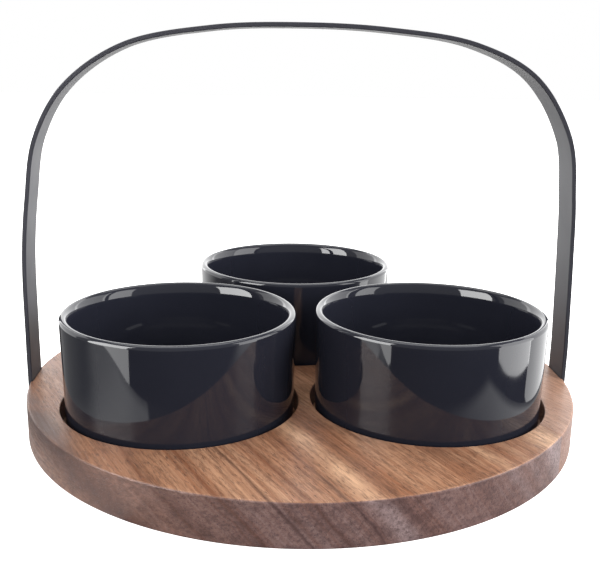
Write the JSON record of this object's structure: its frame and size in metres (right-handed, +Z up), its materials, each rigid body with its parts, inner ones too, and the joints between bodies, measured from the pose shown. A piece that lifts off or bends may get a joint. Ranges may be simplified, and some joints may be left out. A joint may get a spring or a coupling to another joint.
{
  "type": "chip and dip server",
  "caption": "Round wooden serving board with blind recesses holding lift-out black glazed dip bowls, under a flat black metal carrying arch.",
  "frame": {"origin": "centre of the board's flat underside, on the surface it stands on", "axes": "+Z up; +X along the plane of the handle arch, from the left leg to the right one; +Y towards the back bowl"},
  "size_m": [0.2518, 0.25, 0.1782],
  "materials": {
    "wood_main": "satin, oiled",
    "wood_side": "satin, oiled",
    "black_glaze": "gloss",
    "black_coat": "satin powder coat",
    "screw_zinc": "zinc plated"
  },
  "bodies": {
    "board": {"board_main": "wood_main", "board_side": "wood_side", "handle_strap": "black_coat", "screw_left_outer": "screw_zinc", "screw_left_inner": "screw_zinc", "screw_right_outer": "screw_zinc", "screw_right_inner": "screw_zinc"},
    "bowl_left": {"bowl_left": "black_glaze"},
    "bowl_right": {"bowl_right": "black_glaze"},
    "bowl_back": {"bowl_back": "black_glaze"}
  },
  "joints": [
    {"name": "bowl_left_lift", "type": "slide", "parent": "board", "child": "bowl_left", "axis": [0, 0, 1], "range_m": [0, 0.08]},
    {"name": "bowl_right_lift", "type": "slide", "parent": "board", "child": "bowl_right", "axis": [0, 0, 1], "range_m": [0, 0.08]},
    {"name": "bowl_back_lift", "type": "slide", "parent": "board", "child": "bowl_back", "axis": [0, 0, 1], "range_m": [0, 0.08]}
  ]
}
